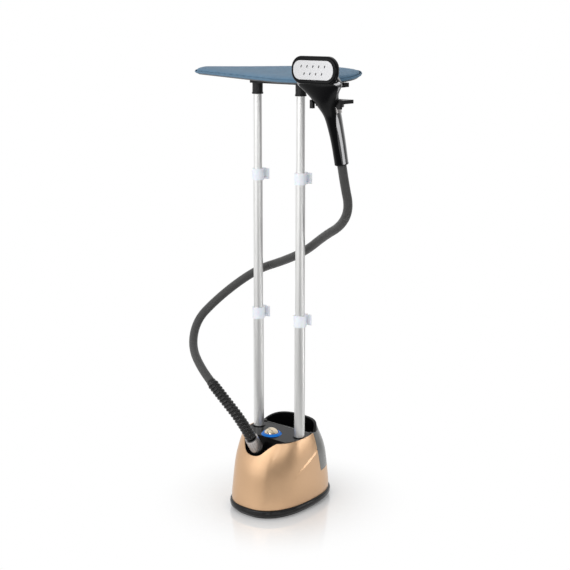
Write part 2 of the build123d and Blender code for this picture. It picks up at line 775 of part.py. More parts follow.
def clamp_collars(middle, tube_d, inside_d):
    """Collars at the top of one stage, each with a forked ear behind for its lever."""
    low = middle - CLAMP_H / 2
    high = middle + CLAMP_H / 2
    outer_r = clamp_outer_r(tube_d)
    collars = []
    for x in LEGS.values():
        ear_back = MAST_Y + outer_r + EAR_REACH
        ear = block((x - EAR_HALF_X, MAST_Y, low), (x + EAR_HALF_X, ear_back, high))
        ear = fillet(ear.edges().filter_by(Axis.Z).group_by(Axis.Y)[-1], EAR_HALF_X / 2)
        ear -= block((x - FAR, MAST_Y + outer_r, low + EAR_T), (x + FAR, FAR, high - EAR_T))
        collar = upright(x, MAST_Y, low, high, outer_r) + ear
        collar -= upright(x, MAST_Y, low, high - CLAMP_LIP, tube_d / 2 + RUNNING_GAP)
        collar -= upright(x, MAST_Y, low, high, inside_d / 2 + SLIDE_GAP)
        collars.append(collar - upright(x, lever_pin_y(tube_d), low, high, LEVER_PIN_R + RUNNING_GAP))
    return group(collars)


def clamp_pins(middle, tube_d):
    low = middle - CLAMP_H / 2
    high = middle + CLAMP_H / 2
    return group(upright(x, lever_pin_y(tube_d), low, high, LEVER_PIN_R) for x in LEGS.values())


def clamp_lever(x, middle, tube_d):
    """Flip lever: a knuckle on the pin, a neck between the ears and a tall finger tab."""
    y = lever_pin_y(tube_d)
    back = y + LEVER_KNUCKLE_R
    front = back - LEVER_T
    low = middle - CLAMP_H / 2
    high = middle + CLAMP_H / 2
    slot_low = low + EAR_T + SLIDE_GAP
    slot_high = high - EAR_T - SLIDE_GAP
    tab = block((x + LEVER_NECK, front, low + LEVER_TRIM), (x + LEVER_LENGTH, back, high - LEVER_TRIM))
    tab = fillet(tab.edges().filter_by(Axis.Z).group_by(Axis.X)[-1], LEVER_T / 3)
    lever = upright(x, y, slot_low, slot_high, LEVER_KNUCKLE_R) + tab
    lever += block((x, front, slot_low), (x + LEVER_NECK, back, slot_high))
    return lever - upright(x, y, low, high, LEVER_PIN_R + RUNNING_GAP)


def top_socket(x):
    socket = upright(x, MAST_Y, SOCKET_Z, BEAM_Z, SOCKET_OD / 2)
    socket += upright(x, MAST_Y, SOCKET_Z, SOCKET_Z + SOCKET_FLANGE_H, SOCKET_OD / 2 + SOCKET_FLANGE)
    return socket - upright(x, MAST_Y, SOCKET_Z, UPPER_TOP, UPPER_OD / 2 + RUNNING_GAP)


def hinge_rod(x, reach, radius):
    """Cylinder on the board's hinge axis, centred on one leg."""
    return rod((x, HINGE_Y, HINGE_Z), (1, 0, 0), -reach, reach, radius)


def carrier_beam():
    low = (BEAM_LEFT_X, MAST_Y - BEAM_HALF_Y, BEAM_Z)
    beam = block(low, (BEAM_RIGHT_X, MAST_Y + BEAM_HALF_Y, BEAM_TOP))
    beam = fillet(beam.edges().filter_by(Axis.Z), BEAM_ROUND)
    for x in LEGS.values():
        lug_low = (x - LUG_HALF_X, HINGE_Y - LUG_R, BEAM_TOP)
        beam += block(lug_low, (x + LUG_HALF_X, HINGE_Y + LUG_R, HINGE_Z))
        beam += hinge_rod(x, LUG_HALF_X, LUG_R)
        beam -= hinge_rod(x, LUG_HALF_X, HINGE_PIN_R + RUNNING_GAP)
    return beam


def hinge_pins():
    return group(hinge_rod(x, LUG_HALF_X + BEARING_T, HINGE_PIN_R) for x in LEGS.values())


# Ironing board, drawn flat about its hinge axis and then tilted

def board_face(inset, z):
    """Plan of the board at one height, drawn in by inset: nose, flanks, bellies and tail."""
    nose = Vector(NOSE_X, 0, z)
    belly = Vector(BELLY_X, BELLY_HALF - BELLY_R, z)
    tail_x = BELLY_X + sqrt((BELLY_R - TAIL_R) ** 2 - belly.Y ** 2)
    tail = Vector(tail_x, 0, z)
    span = belly - nose
    flank_turn = atan2(span.Y, span.X) + acos((NOSE_R - BELLY_R) / span.length)
    tail_turn = atan2(-belly.Y, tail_x - BELLY_X)

    def on_circle(centre, radius, turn):
        return centre + Vector(cos(turn), sin(turn)) * (radius - inset)

    def mirrored(point):
        return Vector(point.X, -point.Y, point.Z)

    flank_front = on_circle(nose, NOSE_R, flank_turn)
    flank_back = on_circle(belly, BELLY_R, flank_turn)
    belly_middle = on_circle(belly, BELLY_R, (flank_turn + tail_turn) / 2)
    belly_back = on_circle(belly, BELLY_R, tail_turn)
    return make_face([
        ThreePointArc(mirrored(flank_front), on_circle(nose, NOSE_R, pi), flank_front),
        Line(flank_front, flank_back),
        ThreePointArc(flank_back, belly_middle, belly_back),
        ThreePointArc(belly_back, on_circle(tail, TAIL_R, 0), mirrored(belly_back)),
        ThreePointArc(mirrored(belly_back), mirrored(belly_middle), mirrored(flank_back)),
        Line(mirrored(flank_back), mirrored(flank_front)),
    ])


def placed_board(shape):
    return Pos(0, HINGE_Y, HINGE_Z) * Rot(BOARD_TILT, 0, 0) * shape


def board_tray():
    skin_low = TRAY_HIGH - TRAY_SKIN
    outer = loft([board_face(TRAY_LOW_INSET, TRAY_LOW), board_face(TRAY_TOP_INSET, TRAY_HIGH)], ruled=True)
    hollow_low = board_face(TRAY_LOW_INSET + TRAY_WALL, TRAY_LOW)
    hollow_high = board_face(TRAY_TOP_INSET + TRAY_WALL, skin_low)
    tray = outer - loft([hollow_low, hollow_high], ruled=True)
    for x in TRAY_RIB_X:
        rib = block((x - TRAY_RIB_T / 2, -FAR, TRAY_LOW), (x + TRAY_RIB_T / 2, FAR, TRAY_HIGH))
        tray += rib & outer
    reach = LUG_HALF_X + BEARING_T
    for x in LEGS.values():
        for side in (-1, 1):
            near, far = sorted([x + side * (LUG_HALF_X + SLIDE_GAP), x + side * reach])
            tray += block((near, -BEARING_HALF_Y, BEARING_LOW), (far, BEARING_HALF_Y, skin_low))
        tray -= rod((x, 0, 0), (1, 0, 0), -reach, reach, HINGE_PIN_R + RUNNING_GAP)
    return placed_board(tray)


def board_cover():
    layers = [board_face(inset, TRAY_HIGH + height) for height, inset in COVER_LAYERS]
    return placed_board(loft(layers, ruled=True))


# Handset

def between(before, start, end, after, share):
    """Value between start and end on a smooth curve through all four."""
    slope = (end - before) / 2
    end_slope = (after - start) / 2
    rise = end - start
    curve = 3 * rise - 2 * slope - end_slope
    twist = slope + end_slope - 2 * rise
    return start + share * (slope + share * (curve + share * twist))


def smooth_spine():
    """Rows of the spine with even steps on a smooth curve between them."""
    first = [2 * a - b for a, b in zip(SPINE[0], SPINE[1])]
    last = [2 * a - b for a, b in zip(SPINE[-1], SPINE[-2])]
    rows = [first, *SPINE, last]
    smooth = []
    for four in zip(rows, rows[1:], rows[2:], rows[3:]):
        for step in range(SPINE_STEPS):
            smooth.append([between(*values, step / SPINE_STEPS) for values in zip(*four)])
    return [*smooth, SPINE[-1]]


def spine_plane(station, drop=0):
    """Plane across the smooth spine at one station, moved down the spine by drop."""
    rows = smooth_spine()
    before = rows[max(station - 1, 0)]
    after = rows[min(station + 1, len(rows) - 1)]
    along = Vector(0, after[0] - before[0], after[1] - before[1]).normalized()
    here = Vector(HANDSET_X, rows[station][0], rows[station][1])
    return Plane(origin=here - along * drop, x_dir=(1, 0, 0), z_dir=along)


def handle_block(inset, spare=0):
    """Solid of the grip, neck and funnel, drawn in by inset and longer by spare at the hose end."""
    sections = []
    for station, (_, _, half_x, half_depth) in enumerate(smooth_spine()):
        drop = spare if station == 0 else 0
        sections.append(spine_plane(station, drop) * Ellipse(half_x - inset, half_depth - inset))
    return loft(sections)


def head_face(y, half_x, half_z):
    """Rounded oblong facing forward at one depth of the steam head."""
    facing = Plane(origin=(HANDSET_X, y, HEAD_Z), x_dir=(1, 0, 0), z_dir=(0, -1, 0))
    return facing * RectangleRounded(2 * half_x, 2 * half_z, half_z * HEAD_CORNER)


def head_block(inset, spare=0):
    """Solid of the steam head behind its bezel, drawn in by inset and longer by spare in front."""
    sections = []
    last = len(HEAD_SECTIONS) - 1
    for k, (y, half_x, half_z) in enumerate(HEAD_SECTIONS):
        shift = {0: -spare, last: -inset}.get(k, 0)
        sections.append(head_face(y + shift, half_x - inset, half_z - inset))
    return loft(sections)


def handset_shells():
    """Hollow casing of the handset before it is split into a front and a rear half."""
    outer = handle_block(0) + head_block(0)
    return outer - handle_block(HANDSET_WALL, spare=1) - head_block(HANDSET_WALL, spare=1)


def front_half():
    return side_prism([*SPLIT_LINE, (-FAR, SPLIT_LINE[-1][1]), (-FAR, SPLIT_LINE[0][1])])


def handle_screw(station, low, high, radius):
    """Cylinder through the rear of the grip, measured from its outer face."""
    across = spine_plane(station * SPINE_STEPS)
    outside = SPINE[station][3]
    return rod(across.origin, across.y_dir, outside + low, outside + high, radius)


def handset_front_shell():
    return handset_shells() & front_half()


def handset_rear_shell():
    shell = handset_shells() - front_half()
    for station in HANDLE_SCREW_STATIONS:
        shell -= handle_screw(station, -2 * HANDSET_WALL, HANDSET_WALL, SCREW_R + RUNNING_GAP)
    return shell


def handset_screws():
    low = -HANDSET_WALL - HANDLE_SCREW_GRIP
    return group(handle_screw(station, low, -SEAT_GAP, SCREW_R) for station in HANDLE_SCREW_STATIONS)


def head_bezel():
    _, half_x, half_z = HEAD_SECTIONS[0]
    bezel = extrude(head_face(HEAD_FRONT_Y, half_x, half_z), amount=BEZEL_T)
    bezel = fillet(bezel.edges().group_by(Axis.Y)[0], BEZEL_ROUND)
    chamber_x = PLATE_HALF_X - CHAMBER_MARGIN + SLIDE_GAP
    chamber_z = PLATE_HALF_Z - CHAMBER_MARGIN + SLIDE_GAP
    bezel -= extrude(head_face(HEAD_FRONT_Y, chamber_x, chamber_z), amount=BEZEL_T)
    mouth = head_face(HEAD_FRONT_Y - BEZEL_LIP, PLATE_HALF_X + PLATE_GAP, PLATE_HALF_Z + PLATE_GAP)
    return bezel - extrude(mouth, amount=BEZEL_T)


def steam_plate():
    plate = extrude(head_face(PLATE_BACK_Y, PLATE_HALF_X, PLATE_HALF_Z), amount=PLATE_T)
    upper = [(k * JET_PITCH, JET_ROW) for k in range(-2, 3)]
    lower = [((k + 0.5) * JET_PITCH, -JET_ROW) for k in range(-2, 2)]
    facing = Plane(origin=(HANDSET_X, PLATE_BACK_Y, HEAD_Z), x_dir=(1, 0, 0), z_dir=(0, -1, 0))
    for x, z in upper + lower:
        jet = facing * Pos(x, z) * Rot(0, 0, JET_SLANT) * SlotOverall(JET_LENGTH, JET_WIDTH)
        plate -= extrude(jet, amount=PLATE_T)
    return plate


def steam_tube_points():
    start = spine_plane(0, -STEAM_TUBE_DROP).origin
    along_spine = [Vector(HANDSET_X, y, z) for y, z, _, _ in SPINE[1:-1]]
    top = Vector(HANDSET_X, SPINE[-1][0] + 1, HEAD_Z - STEAM_TUBE_DROP)
    return [start, *along_spine, top, Vector(HANDSET_X, CHAMBER_BACK_Y, top.Z)]


def steam_chamber():
    half_x = PLATE_HALF_X - CHAMBER_MARGIN
    half_z = PLATE_HALF_Z - CHAMBER_MARGIN
    chamber = extrude(head_face(CHAMBER_BACK_Y, half_x, half_z), amount=CHAMBER_DEPTH)
    hollow = head_face(CHAMBER_BACK_Y - CHAMBER_WALL, half_x - CHAMBER_WALL, half_z - CHAMBER_WALL)
    chamber -= extrude(hollow, amount=CHAMBER_DEPTH)
    inlet = steam_tube_points()[-1]
    return chamber - rod(inlet, (0, -1, 0), 0, CHAMBER_WALL, STEAM_TUBE_BORE_R)


def steam_tube():
    points = steam_tube_points()
    return pipe(points, bend_radii(points), STEAM_TUBE_R, STEAM_TUBE_BORE_R)


def neck_collar():
    ring = handle_block(-COLLAR_PROUD) - handle_block(-SEAT_GAP)
    return (ring & block((-FAR, -FAR, COLLAR_LOW), (FAR, FAR, COLLAR_HIGH))) - front_half()


def hose_cuff():
    plane = spine_plane(0)
    start, axis = plane.origin, plane.z_dir
    sleeve = rod(start, axis, 0, CUFF_LENGTH, SPINE[0][2])
    sleeve = sleeve & handle_block(HANDSET_WALL + SEAT_GAP, spare=CUFF_FLANGE)
    cuff = sleeve + rod(start, axis, -CUFF_FLANGE, 0, SPINE[0][2])
    return cuff - rod(start, axis, -CUFF_FLANGE, CUFF_LENGTH, HOSE_R + SLIDE_GAP)


# Fork

def neck_half_width(z):
    """Half width of the handset's neck at one height."""
    neck_slice = handle_block(0) & block((-FAR, -FAR, z), (FAR, FAR, z + RUNNING_GAP))
    return neck_slice.bounding_box().size.X / 2


def fork_slot_face(z):
    """Slot of the fork at one height: a half circle round the neck, open to the front."""
    half = neck_half_width(z) + FORK_GAP
    round_end = Pos(HANDSET_X, FORK_SLOT_Y) * Circle(half)
    mouth = Pos(HANDSET_X, FORK_SLOT_Y) * Rectangle(2 * half, FAR, align=(Align.CENTER, Align.MAX))
    return Plane.XY.offset(z) * (round_end + mouth)


def hanger_fork():
    left = HANDSET_X - FORK_HALF_X
    right = HANDSET_X + FORK_HALF_X
    fork = block((left, FORK_LEFT_TIP_Y, FORK_LOW), (HANDSET_X, FORK_BACK_Y, FORK_HIGH))
    fork += block((HANDSET_X, FORK_RIGHT_TIP_Y, FORK_LOW), (right, FORK_BACK_Y, FORK_HIGH))
    for x, tip in ((left, FORK_LEFT_TIP_Y), (right - FORK_LIP_W, FORK_RIGHT_TIP_Y)):
        lip_low = (x, tip, FORK_LOW - FORK_LIP_H)
        fork += block(lip_low, (x + FORK_LIP_W, tip + FORK_LIP_T, FORK_LOW))
    cup_low = FORK_LOW - FORK_CUP_H
    cup = upright(HANDSET_X, FORK_SLOT_Y, cup_low, FORK_LOW, FORK_CUP_R + FORK_CUP_WALL)
    cup -= upright(HANDSET_X, FORK_SLOT_Y, cup_low, FORK_LOW, FORK_CUP_R)
    fork += cup & block((-FAR, FORK_SLOT_Y, cup_low), (FAR, FAR, FORK_LOW))
    fork -= loft([fork_slot_face(FORK_LOW), fork_slot_face(FORK_HIGH)], ruled=True)
    arm_top = BEAM_TOP - ARM_DROP
    arm_front = FORK_BACK_Y - ARM_T
    beam_front = MAST_Y - BEAM_HALF_Y
    fork += block((ARM_LEFT_X, arm_front, FORK_LOW), (ARM_RIGHT_X, FORK_BACK_Y, arm_top))
    return fork + block((ARM_LEFT_X, arm_front, BEAM_Z), (ARM_RIGHT_X, beam_front, arm_top))


# Hose

def hose_points():
    start = [outlet_point(SPIGOT_TOP), outlet_point(SPIGOT_TOP + HOSE_FIRST_RUN)]
    route = [Vector(*point) for point in HOSE_ROUTE]
    return [*start, *route, spine_plane(0, HOSE_LAST_RUN).origin, spine_plane(0, -HOSE_GRIP).origin]


def hose_stretches():
    """Corners of the hose's three stretches, cut square in the middle of two of its runs."""
    points = hose_points()
    radii = [0, *bend_radii(points), 0]
    corners = list(zip(points, radii))
    first, second = [((points[k] + points[k + 1]) * 0.5, 0) for k in HOSE_CUTS]
    lower_end, upper_start = HOSE_CUTS[0] + 1, HOSE_CUTS[1] + 1
    return {
        "hose_lower": [*corners[:lower_end], first],
        "hose_middle": [first, *corners[lower_end:upper_start], second],
        "hose_upper": [second, *corners[upper_start:]],
    }


def hose_stretch(corners):
    points = [point for point, _ in corners]
    radii = [radius for _, radius in corners[1:-1]]
    return pipe(points, radii, HOSE_R, HOSE_BORE_R)


def hose_bend_guard():
    """Ribbed sleeve over the first bend, held by a plain collar in the nut."""
    points = hose_points()
    path = FilletPolyline(*points, radius=bend_radii(points))
    start = NUT_TOP - GUARD_GRIP - SPIGOT_TOP
    first_rib = start + GUARD_COLLAR
    stations = [(start, 0)]
    for k in range(GUARD_RIBS):
        stations += [(first_rib + GUARD_PITCH * (k + share), rise) for share, rise in GUARD_RIB_SHAPE]
    stations.append((first_rib + GUARD_PITCH * GUARD_RIBS + GUARD_TAIL, 0))

    def ring(distance, radius):
        centre = path.position_at(distance, position_mode=PositionMode.LENGTH)
        along = path.tangent_at(distance, position_mode=PositionMode.LENGTH)
        return Plane(origin=centre, x_dir=Vector(0, 1, 0).cross(along), z_dir=along) * Circle(radius)

    rib_h = GUARD_RIB_R - GUARD_ROOT_R
    outside = loft([ring(at, GUARD_ROOT_R + rib_h * rise) for at, rise in stations], ruled=True)
    return outside - loft([ring(at, HOSE_R + SLIDE_GAP) for at, _ in stations], ruled=True)


# Every node of the object

def nodes():
    made = {
        "rubber_feet": rubber_feet(),
        "base_pan": base_pan(),
        "base_screws": base_screws(),
        "body_shell": body_shell(),
        "top_deck": top_deck(),
        "tank_cradle": tank_cradle(),
        "feed_valve_seat": feed_valve_seat(),
        "feed_tube": feed_tube(),
        "boiler": boiler(),
        "heating_element": heating_element(),
        "thermostat": thermostat(),
        "thermal_fuse": thermal_fuse(),
        "steam_pipe": steam_pipe(),
        "hose_socket": hose_socket(),
        "hose_socket_seal": hose_socket_seal(),
        "hose_nut": hose_nut(),
        "hose_bend_guard": hose_bend_guard(),
        "cord_gland": cord_gland(),
        "terminal_block": terminal_block(),
        "dial_switch": dial_switch(),
        "knob_light_ring": knob_light_ring(),
        "dial_knob": dial_knob(),
        "water_tank": water_tank(),
        "tank_lid": tank_lid(),
        "tank_valve": tank_valve(),
        "lower_clamp_collars": clamp_collars(LOWER_CLAMP_Z, LOWER_OD, MID_OD),
        "lower_clamp_pins": clamp_pins(LOWER_CLAMP_Z, LOWER_OD),
        "mid_glide_bushes": glides(MID_BOTTOM, MID_ID, LOWER_ID),
        "upper_clamp_collars": clamp_collars(UPPER_CLAMP_Z, MID_OD, UPPER_OD),
        "upper_clamp_pins": clamp_pins(UPPER_CLAMP_Z, MID_OD),
        "upper_glide_bushes": glides(UPPER_BOTTOM, UPPER_ID, MID_ID),
        "carrier_beam": carrier_beam(),
        "hinge_pins": hinge_pins(),
        "board_tray": board_tray(),
        "board_cover": board_cover(),
        "hanger_fork": hanger_fork(),
        "handset_front_shell": handset_front_shell(),
        "handset_rear_shell": handset_rear_shell(),
        "handset_screws": handset_screws(),
        "head_bezel": head_bezel(),
        "steam_plate": steam_plate(),
        "steam_chamber": steam_chamber(),
        "steam_tube": steam_tube(),
        "neck_collar": neck_collar(),
        "hose_cuff": hose_cuff(),
    }
    for side, x in LEGS.items():
        made[f"{side}_lower_tube"] = stage_tube(x, CUP_FLOOR_Z, LOWER_TOP, LOWER_OD, LOWER_ID)
        made[f"{side}_mid_tube"] = stage_tube(x, MID_BOTTOM, MID_TOP, MID_OD, MID_ID)
        made[f"{side}_upper_tube"] = stage_tube(x, UPPER_BOTTOM, UPPER_TOP, UPPER_OD, UPPER_ID)
        made[f"{side}_lower_lever"] = clamp_lever(x, LOWER_CLAMP_Z, LOWER_OD)
        made[f"{side}_upper_lever"] = clamp_lever(x, UPPER_CLAMP_Z, MID_OD)
        made[f"{side}_top_socket"] = top_socket(x)
    for name, corners in hose_stretches().items():
        made[name] = hose_stretch(corners)
    return made


def report_hose(made):
    """Print the hose's bends, and its volume against section times length."""
    points = hose_points()
    radii = bend_radii(points)
    length = FilletPolyline(*points, radius=radii).length
    section = pi * (HOSE_R ** 2 - HOSE_BORE_R ** 2)
    volume = sum(made[name].volume for name in hose_stretches())
    print("hose bend radii", [round(radius) for radius in radii])
    print("hose length", round(length, 1), "volume share", round(volume / (section * length), 4))


all_nodes = nodes()
for node_name, node_shape in all_nodes.items():
    export_step(node_shape, f"parts/{node_name}.step")
report_hose(all_nodes)
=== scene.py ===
import json
from math import acos, atan2, cos, pi, radians, sin, sqrt, tau

import bmesh
import bpy
from mathutils import Matrix, Vector


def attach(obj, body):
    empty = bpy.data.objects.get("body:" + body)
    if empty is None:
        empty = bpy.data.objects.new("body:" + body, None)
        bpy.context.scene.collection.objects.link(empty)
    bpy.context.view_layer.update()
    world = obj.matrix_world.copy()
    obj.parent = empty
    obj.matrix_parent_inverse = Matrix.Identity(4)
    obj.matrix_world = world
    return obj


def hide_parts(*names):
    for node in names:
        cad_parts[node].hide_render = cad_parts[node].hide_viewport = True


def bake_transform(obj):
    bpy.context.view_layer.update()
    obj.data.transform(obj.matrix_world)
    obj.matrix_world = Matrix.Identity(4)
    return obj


# Upright garment steamer in a plain studio. Metres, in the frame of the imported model.

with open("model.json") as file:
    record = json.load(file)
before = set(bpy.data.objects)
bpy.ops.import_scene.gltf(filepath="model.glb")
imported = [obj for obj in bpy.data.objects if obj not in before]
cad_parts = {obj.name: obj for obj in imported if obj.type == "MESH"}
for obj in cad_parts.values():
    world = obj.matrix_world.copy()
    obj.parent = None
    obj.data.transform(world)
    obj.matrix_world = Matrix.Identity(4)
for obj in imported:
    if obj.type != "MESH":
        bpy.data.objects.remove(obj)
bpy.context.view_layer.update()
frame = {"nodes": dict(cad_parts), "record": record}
scene = bpy.context.scene
nodes = frame["nodes"]

# Camera at the photograph's place
IMAGE_PX = 570
FOCAL_PX = 1170.6
CENTRE_PX = 278.9
SENSOR_MM = 36
CAMERA_AT = (2.2183, -2.6117, 1.4815)
CAMERA_PITCH = 13.043
CAMERA_TURN = 40.441
CAMERA_NEAR = 0.05

# Hose: control points from the outlet to the handset, and the two runs where it is cut
HOSE_R = 0.013
HOSE_POINTS = [
    (0, -0.12095, 0.21422),
    (0, -0.1673, 0.29136),
    (-0.07, -0.19, 0.372),
    (-0.168, -0.178, 0.436),
    (-0.242, -0.14, 0.484),
    (-0.267, -0.09, 0.552),
    (-0.242, -0.034, 0.606),
    (-0.192, 0.016, 0.664),
    (-0.12, 0.042, 0.716),
    (-0.03, 0.047, 0.75),
    (0.062, 0.041, 0.793),
    (0.148, 0.022, 0.853),
    (0.224, 0.004, 0.894),
    (0.264, -0.014, 0.95),
    (0.26, -0.03256, 1.01889),
    (0.26, -0.04993, 1.08876),
]
HOSE_CUTS = (8, 12)
HOSE_SIDES = 40
SPLINE_STEPS = 20

# Ribbed guard over the first bend of the hose
GUARD_START = 0.014
GUARD_COLLAR = 0.02
GUARD_TAIL = 0.008
GUARD_ROOT_R = 0.0146
GUARD_RIB_R = 0.0172
GUARD_BORE_R = 0.01315
GUARD_RIBS = 19
GUARD_PITCH = 0.011
GUARD_RIB_STEPS = 10
GUARD_RIB_SHARE = 0.8
GUARD_RIB_ROUND = 0.6
GUARD_LIP = 0.001
GUARD_LIP_DROP = 0.0007
GUARD_INNER_SKIP = 12

# Board, drawn flat about its hinge
HINGE = (0, -0.009, 1.3055)
BOARD_TILT = 10
NOSE_X = -0.2945
NOSE_R = 0.03
BELLY_X = 0.096
BELLY_HALF = 0.0915
BELLY_R = 0.375
TAIL_R = 0.068
TRAY_TOP = 0.008
OUTLINE_STEP = 0.006

# Padded cover: height over the tray and inset of its layers before it is blown up
PAD_LAYERS = [
    (0.0006, 0.0045),
    (0.003, 0.002),
    (0.0055, 0.003),
    (0.0075, 0.007),
    (0.0088, 0.015),
    (0.0092, 0.025),
]
PAD_VOXEL = 0.005
PAD_PRESSURE = 4
PAD_FRAMES = 20
PAD_REACH = 0.0022
PAD_LIFT = 0.0003
# Hem of the cover over the tray's edge: height about the hinge and inset of its layers
HEM_LAYERS = [(0.0125, 0.0008), (0.0105, -0.0004), (0.0085, -0.0002), (0.0068, 0.0012), (0.0052, 0.0036)]
HEM_T = 0.0007
PUCKER_WAVES = 150
PUCKER_SLOWER = 3
PUCKER_SLOW_SHARE = 0.6
PUCKER_DEPTH = 0.00025

# Studio: which way the white backdrop lies, the light of the room opposite it, and the floor
BACKDROP_WAY = (-0.75, 0.35, 0.56)
BACKDROP_EDGE = (-0.35, 0.5)
ROOM_LIGHT = 0.2
DIFFUSE_LIGHT = (0.4, 0.95)
FLOOR_HALF = 0.6
FLOOR_GAP = 0.0004
FLOOR_FADE = (0.16, 0.42)
FLOOR_GLOW = 0.1
FLOOR_COLOUR = (0.88, 0.88, 0.88, 1)
FLOOR_ROUGHNESS = 0.08
FLOOR_IOR = 2.2

# Lamps: name, place, aim, size and power
LAMPS = [
    ("key", (-0.5, -3.8, 1.0), (0, 0, 0.5), (4.0, 2.2), 42),
    ("top", (0.3, -2.6, 2.2), (0, 0, 0.2), (2.8, 0.9), 22),
    ("side", (2.7, -1.2, 1.25), (0, 0, 0.2), (1.3, 0.8), 9),
    ("front", (2.1, -2.5, 1.5), (0, 0, 0.2), (0.7, 0.5), 8),
    ("grip", (1.26, 0.0, 0.62), (0.28, -0.08, 1.1), (0.8, 0.5), 2),
    ("crease", (1.17, 0.76, 0.13), (0.1, 0, 0.15), (0.56, 0.22), 2),
]

# Woven materials: turn of the hose's braid, and waves per unit of braid and cloth
BRAID_TURN = 38
BRAID_SCALE = 260
CLOTH_SCALE = 420


def make_camera():
    data = bpy.data.cameras.new("camera")
    data.sensor_width = SENSOR_MM
    data.lens = FOCAL_PX / IMAGE_PX * SENSOR_MM
    data.shift_x = 0.5 - CENTRE_PX / IMAGE_PX
    data.clip_start = CAMERA_NEAR
    camera = bpy.data.objects.new("camera", data)
    camera.location = CAMERA_AT
    camera.rotation_euler = (radians(90 - CAMERA_PITCH), 0, radians(CAMERA_TURN))
    scene.collection.objects.link(camera)
    scene.camera = camera


# Mesh helpers

def mesh_object(name, vertices, faces):
    mesh = bpy.data.meshes.new(name)
    mesh.from_pydata(vertices, [], faces)
    mesh.update()
    mesh.polygons.foreach_set("use_smooth", [True] * len(mesh.polygons))
    obj = bpy.data.objects.new(name, mesh)
    scene.collection.objects.link(obj)
    return obj


def path_frames(points):
    """Point, normal and binormal at each point of a line, carried along without twist."""
    tangents = []
    for k in range(len(points)):
        ahead = points[min(k + 1, len(points) - 1)]
        behind = points[max(k - 1, 0)]
        tangents.append((ahead - behind).normalized())
    normal = tangents[0].orthogonal().normalized()
    frames = []
    for point, tangent in zip(points, tangents):
        normal = (normal - tangent * normal.dot(tangent)).normalized()
        frames.append((point, normal, tangent.cross(normal)))
    return frames


def ring(at, radius, sides):
    point, normal, binormal = at
    turns = [tau * k / sides for k in range(sides)]
    return [point + (normal * cos(turn) + binormal * sin(turn)) * radius for turn in turns]


def wall_faces(rings, sides, closed=False):
    """Quads between neighbouring rings, and from the last back to the first where closed."""
    faces = []
    last = rings if closed else rings - 1
    for k in range(last):
        low = k * sides
        high = (k + 1) % rings * sides
        for side in range(sides):
            beside = (side + 1) % sides
            faces.append((low + side, low + beside, high + beside, high + side))
    return faces


def points_along(points, distances):
    """Points at the given distances along a line."""
    found = []
    for distance in distances:
        left = distance
        for a, b in zip(points, points[1:]):
            step = (b - a).length
            if left <= step:
                break
            left -= step
        found.append(a + (b - a) * (left / step))
    return found


def add_tube_uv(obj, rings, sides, radius, lengths):
    """Distance round and along the tube, in metres, for its woven material."""
    layer = obj.data.uv_layers.new(name="weave")
    girth = tau * radius
    for polygon in obj.data.polygons:
        corners = [divmod(index, sides) for index in polygon.vertices]
        wraps = max(side for _, side in corners) - min(side for _, side in corners) > sides / 2
        for loop, (row, side) in zip(polygon.loop_indices, corners):
            turn = side + (sides if wraps and side < sides / 2 else 0)
            layer.data[loop].uv = (turn / sides * girth, lengths[min(row, rings - 1)])


# Hose

def hose_line():
    """Points read from the smooth spline through the hose's control points."""
    curve = bpy.data.curves.new("hose_route", "CURVE")
    curve.dimensions = "3D"
    spline = curve.splines.new("NURBS")
    spline.points.add(len(HOSE_POINTS) - 1)
    for target, point in zip(spline.points, HOSE_POINTS):
        target.co = (*point, 1)
    spline.order_u = 3
    spline.use_endpoint_u = True
    spline.resolution_u = SPLINE_STEPS
    holder = bpy.data.objects.new("hose_route", curve)
    scene.collection.objects.link(holder)
    mesh = bpy.data.meshes.new_from_object(holder)
    points = [vertex.co.copy() for vertex in mesh.vertices]
    bpy.data.meshes.remove(mesh)
    bpy.data.objects.remove(holder)
    bpy.data.curves.remove(curve)
    return points


def cut_index(points, run):
    middle = (Vector(HOSE_POINTS[run]) + Vector(HOSE_POINTS[run + 1])) / 2
    return min(range(len(points)), key=lambda k: (points[k] - middle).length)


def hose_tube(name, frames, lengths):
    vertices = [v for at in frames for v in ring(at, HOSE_R, HOSE_SIDES)]
    rings = len(frames)
    faces = wall_faces(rings, HOSE_SIDES)
    faces.append(tuple(reversed(range(HOSE_SIDES))))
    faces.append(tuple((rings - 1) * HOSE_SIDES + k for k in range(HOSE_SIDES)))
    tube = mesh_object(name, vertices, faces)
    add_tube_uv(tube, rings, HOSE_SIDES, HOSE_R, lengths)
    return tube


